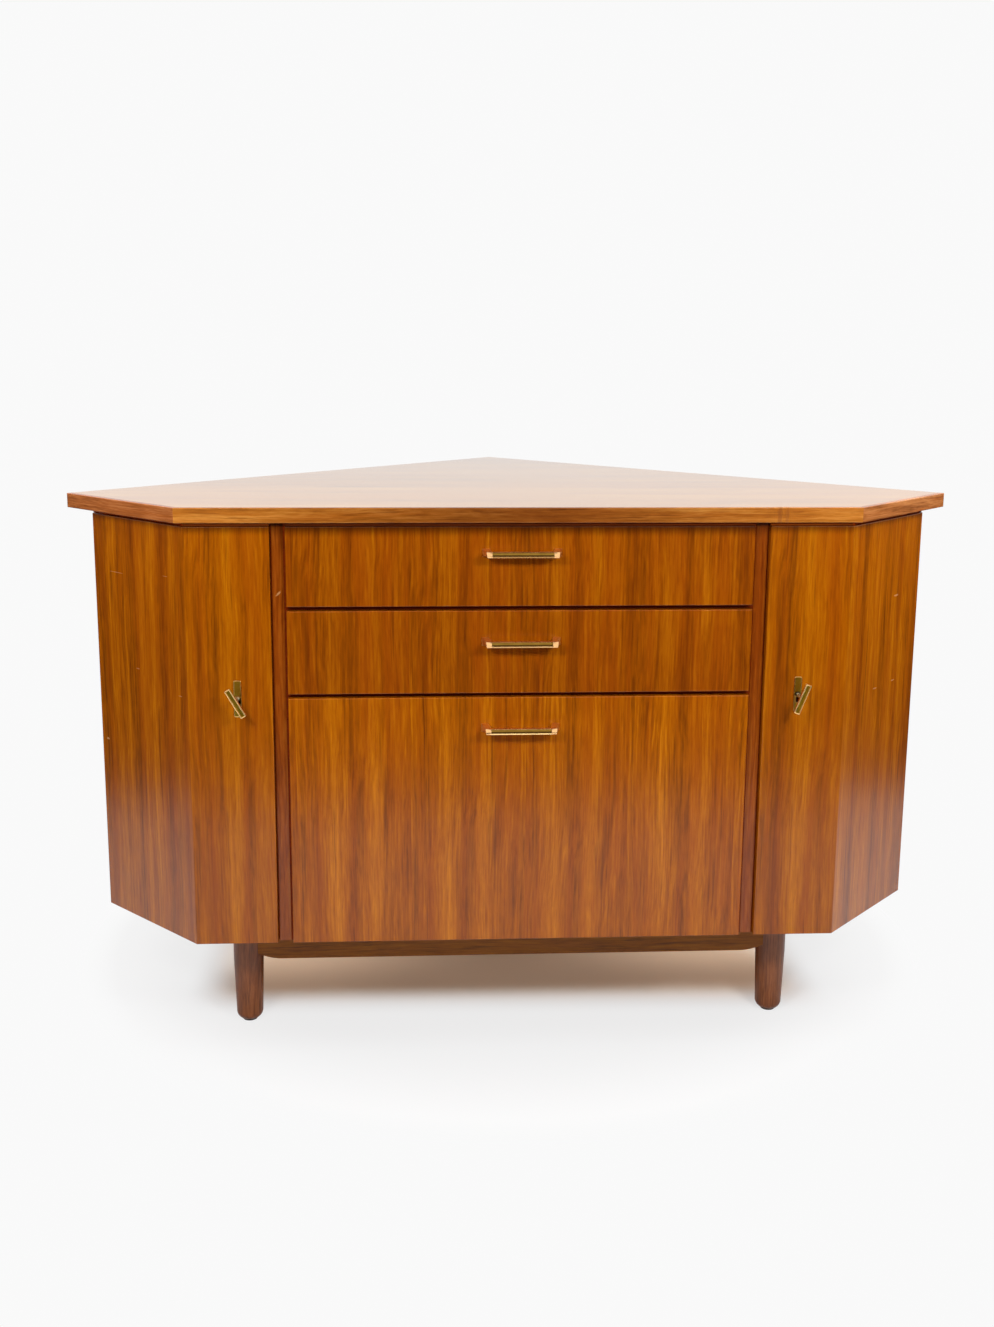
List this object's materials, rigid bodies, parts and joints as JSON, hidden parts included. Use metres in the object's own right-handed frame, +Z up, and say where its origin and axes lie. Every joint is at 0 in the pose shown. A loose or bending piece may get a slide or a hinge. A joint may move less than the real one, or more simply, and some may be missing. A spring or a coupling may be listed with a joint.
{
  "type": "corner cabinet",
  "caption": "Free-standing corner cabinet for a television: pentagonal teak top, centre drawers with brass pulls, angled side doors with locks and keys, turned tapered legs.",
  "frame": {"origin": "on the floor, below the middle of the whole cabinet's box", "axes": "+X to the right along the straight front, +Y to the rear corner, +Z up; the front faces -Y"},
  "size_m": [1.315, 0.87, 0.8],
  "materials": {
    "teak_veneer": "satin oiled teak veneer",
    "teak_solid": "satin oiled solid teak",
    "leg_teak": "satin stained hardwood",
    "drawer_beech": "plain lacquered beech",
    "back_board": "plain plywood",
    "brass": "polished, lightly aged",
    "lock_steel": "plain lock steel",
    "glide": "matt dark glide"
  },
  "bodies": {
    "carcass": {"top_panel": "teak_veneer", "top_lip_front": "teak_solid", "top_lip_left": "teak_solid", "top_lip_right": "teak_solid", "bottom_panel": "teak_veneer", "partition_left": "teak_veneer", "partition_right": "teak_veneer", "partition_lips": "teak_solid", "back_panel_left": "back_board", "back_panel_right": "back_board", "hinge_jambs": "drawer_beech", "apex_post": "drawer_beech", "top_rails": "drawer_beech", "strikes": "brass", "shelf_left": "teak_veneer", "shelf_right": "teak_veneer", "shelf_cleats": "drawer_beech", "drawer_runners": "drawer_beech", "jamb_hinge_leaves": "brass", "leg_rail_front": "leg_teak", "legs_front": "teak_veneer", "leg_rail_rear": "leg_teak", "legs_rear": "teak_veneer", "glides": "glide"},
    "upper_drawer": {"upper_drawer_front": "teak_veneer", "upper_drawer_side_left": "drawer_beech", "upper_drawer_side_right": "drawer_beech", "upper_drawer_back": "drawer_beech", "upper_drawer_bottom": "drawer_beech", "upper_drawer_pull": "brass"},
    "middle_drawer": {"middle_drawer_front": "teak_veneer", "middle_drawer_side_left": "drawer_beech", "middle_drawer_side_right": "drawer_beech", "middle_drawer_back": "drawer_beech", "middle_drawer_bottom": "drawer_beech", "middle_drawer_pull": "brass"},
    "lower_drawer": {"lower_drawer_front": "teak_veneer", "lower_drawer_side_left": "drawer_beech", "lower_drawer_side_right": "drawer_beech", "lower_drawer_back": "drawer_beech", "lower_drawer_bottom": "drawer_beech", "lower_drawer_pull": "brass"},
    "door_left": {"door_left_front_board": "teak_veneer", "door_left_side_board": "teak_veneer", "door_left_hinge_leaves": "brass", "door_left_lock_case": "lock_steel", "door_left_escutcheon": "brass"},
    "key_left": {"key_left": "brass"},
    "bolt_left": {"bolt_left": "lock_steel"},
    "door_right": {"door_right_front_board": "teak_veneer", "door_right_side_board": "teak_veneer", "door_right_hinge_leaves": "brass", "door_right_lock_case": "lock_steel", "door_right_escutcheon": "brass"},
    "key_right": {"key_right": "brass"},
    "bolt_right": {"bolt_right": "lock_steel"}
  },
  "joints": [
    {"name": "upper_drawer_slide", "type": "slide", "parent": "carcass", "child": "upper_drawer", "axis": [0, -1, 0], "range_m": [0, 0.3]},
    {"name": "middle_drawer_slide", "type": "slide", "parent": "carcass", "child": "middle_drawer", "axis": [0, -1, 0], "range_m": [0, 0.3]},
    {"name": "lower_drawer_slide", "type": "slide", "parent": "carcass", "child": "lower_drawer", "axis": [0, -1, 0], "range_m": [0, 0.3]},
    {"name": "door_left_swing", "type": "hinge", "parent": "carcass", "child": "door_left", "pos_m": [-0.60522, -0.23474, 0.473], "axis": [0, 0, -1], "range_deg": [0, 95]},
    {"name": "key_left_turn", "type": "hinge", "parent": "door_left", "child": "key_left", "pos_m": [-0.39286, -0.40597, 0.534], "axis": [0, 1, 0], "range_deg": [0, 180]},
    {"name": "bolt_left_slide", "type": "slide", "parent": "door_left", "child": "bolt_left", "axis": [1, 0, 0], "range_m": [0, 0.0091]},
    {"name": "door_right_swing", "type": "hinge", "parent": "carcass", "child": "door_right", "pos_m": [0.60522, -0.23474, 0.473], "axis": [0, 0, 1], "range_deg": [0, 95]},
    {"name": "key_right_turn", "type": "hinge", "parent": "door_right", "child": "key_right", "pos_m": [0.39286, -0.40597, 0.534], "axis": [0, -1, 0], "range_deg": [0, 180]},
    {"name": "bolt_right_slide", "type": "slide", "parent": "door_right", "child": "bolt_right", "axis": [-1, 0, 0], "range_m": [0, 0.0091]}
  ],
  "couplings": [
    {"joint": "bolt_left_slide", "follows": "key_left_turn", "m_per_rad": 0.0028648},
    {"joint": "bolt_right_slide", "follows": "key_right_turn", "m_per_rad": 0.0028648}
  ]
}
